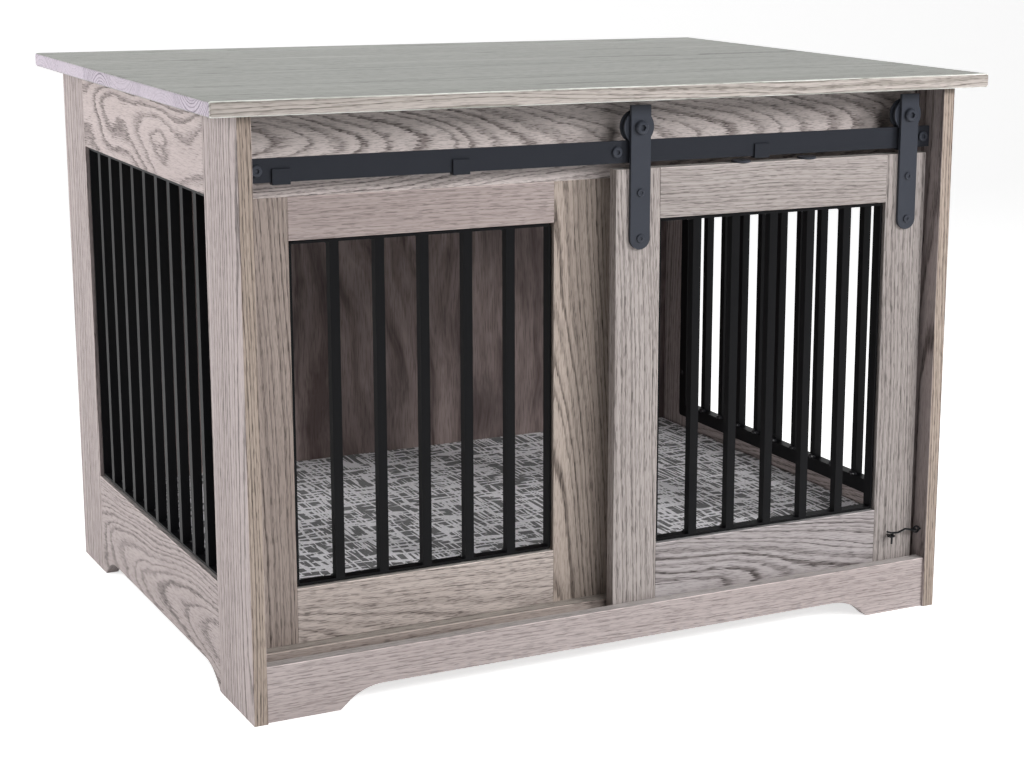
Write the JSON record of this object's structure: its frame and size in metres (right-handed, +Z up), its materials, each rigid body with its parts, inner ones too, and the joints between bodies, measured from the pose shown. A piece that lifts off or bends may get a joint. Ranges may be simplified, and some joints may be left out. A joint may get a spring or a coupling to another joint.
{
  "type": "dog crate end table",
  "caption": "Low wooden crate with barred openings and a slab top; its front door hangs on wheels and rolls sideways along a flat bar, held shut by a wire hook.",
  "frame": {"origin": "on the floor, under the middle of the slab top's outline", "axes": "+X to the right along the front as you face it, +Y from the front to the back, +Z up"},
  "size_m": [1.149, 0.86, 0.799],
  "materials": {
    "slab_wood": "grey weathered stain under a satin lacquer, open grain along the front",
    "case_wood": "grey weathered stain, matt, open oak grain with darker pores",
    "door_wood": "grey weathered stain, matt, open oak grain",
    "inner_wood": "dark stained plywood and cleats, matt",
    "carpet": "heathered black, grey and white low pile",
    "bar_steel": "satin black powder coat",
    "hardware_steel": "fine textured black powder coat",
    "screw_steel": "black oxide, slightly shiny",
    "latch_wire": "black wire, slightly shiny"
  },
  "bodies": {
    "case": {"table_top": "slab_wood", "left_front_stile": "case_wood", "left_rear_stile": "case_wood", "left_top_rail": "case_wood", "left_bottom_rail": "case_wood", "right_front_stile": "case_wood", "right_rear_stile": "case_wood", "right_top_rail": "case_wood", "right_bottom_rail": "case_wood", "header_board": "case_wood", "fixed_left_stile": "case_wood", "fixed_right_stile": "case_wood", "fixed_top_rail": "case_wood", "fixed_bottom_rail": "case_wood", "ledge_board": "case_wood", "channel_floor": "case_wood", "base_rail": "case_wood", "back_panel": "inner_wood", "floor_panel": "inner_wood", "front_floor_rail": "inner_wood", "left_floor_cleat": "inner_wood", "right_floor_cleat": "inner_wood", "rear_floor_cleat": "inner_wood", "left_top_cleat": "inner_wood", "right_top_cleat": "inner_wood", "top_screws": "screw_steel", "carpet_mat": "carpet", "left_side_grid": "bar_steel", "left_grid_screws": "screw_steel", "right_side_grid": "bar_steel", "right_grid_screws": "screw_steel", "fixed_grid": "bar_steel", "fixed_grid_screws": "screw_steel", "track_bar": "hardware_steel", "track_spacers": "hardware_steel", "track_bolts": "hardware_steel", "track_clips": "hardware_steel", "side_eye": "latch_wire"},
    "door": {"door_left_stile": "door_wood", "door_right_stile": "door_wood", "door_top_rail": "door_wood", "door_bottom_rail": "door_wood", "door_grid": "bar_steel", "door_grid_screws": "screw_steel", "left_strap": "hardware_steel", "right_strap": "hardware_steel", "strap_screws": "hardware_steel", "axle_bolts": "hardware_steel", "axle_nuts": "hardware_steel", "anti_jump_discs": "hardware_steel", "disc_screws": "screw_steel", "door_eye": "latch_wire"},
    "left_wheel": {"left_wheel": "hardware_steel"},
    "right_wheel": {"right_wheel": "hardware_steel"},
    "latch_hook": {"latch_hook": "latch_wire"}
  },
  "joints": [
    {"name": "door_slide", "type": "slide", "parent": "case", "child": "door", "axis": [-1, 0, 0], "range_m": [0, 0.5]},
    {"name": "left_wheel_spin", "type": "hinge", "parent": "door", "child": "left_wheel", "pos_m": [0.0315, -0.373, 0.7397], "axis": [0, -1, 0], "range_deg": [0, 1620]},
    {"name": "right_wheel_spin", "type": "hinge", "parent": "door", "child": "right_wheel", "pos_m": [0.4705, -0.373, 0.7397], "axis": [0, -1, 0], "range_deg": [0, 1620]},
    {"name": "latch_swing", "type": "hinge", "parent": "case", "child": "latch_hook", "pos_m": [0.507, -0.391, 0.119], "axis": [0, 1, 0], "range_deg": [0, 85]}
  ],
  "couplings": [
    {"joint": "left_wheel_spin", "follows": "door_slide", "rad_per_m": 56.497},
    {"joint": "right_wheel_spin", "follows": "door_slide", "rad_per_m": 56.497}
  ]
}
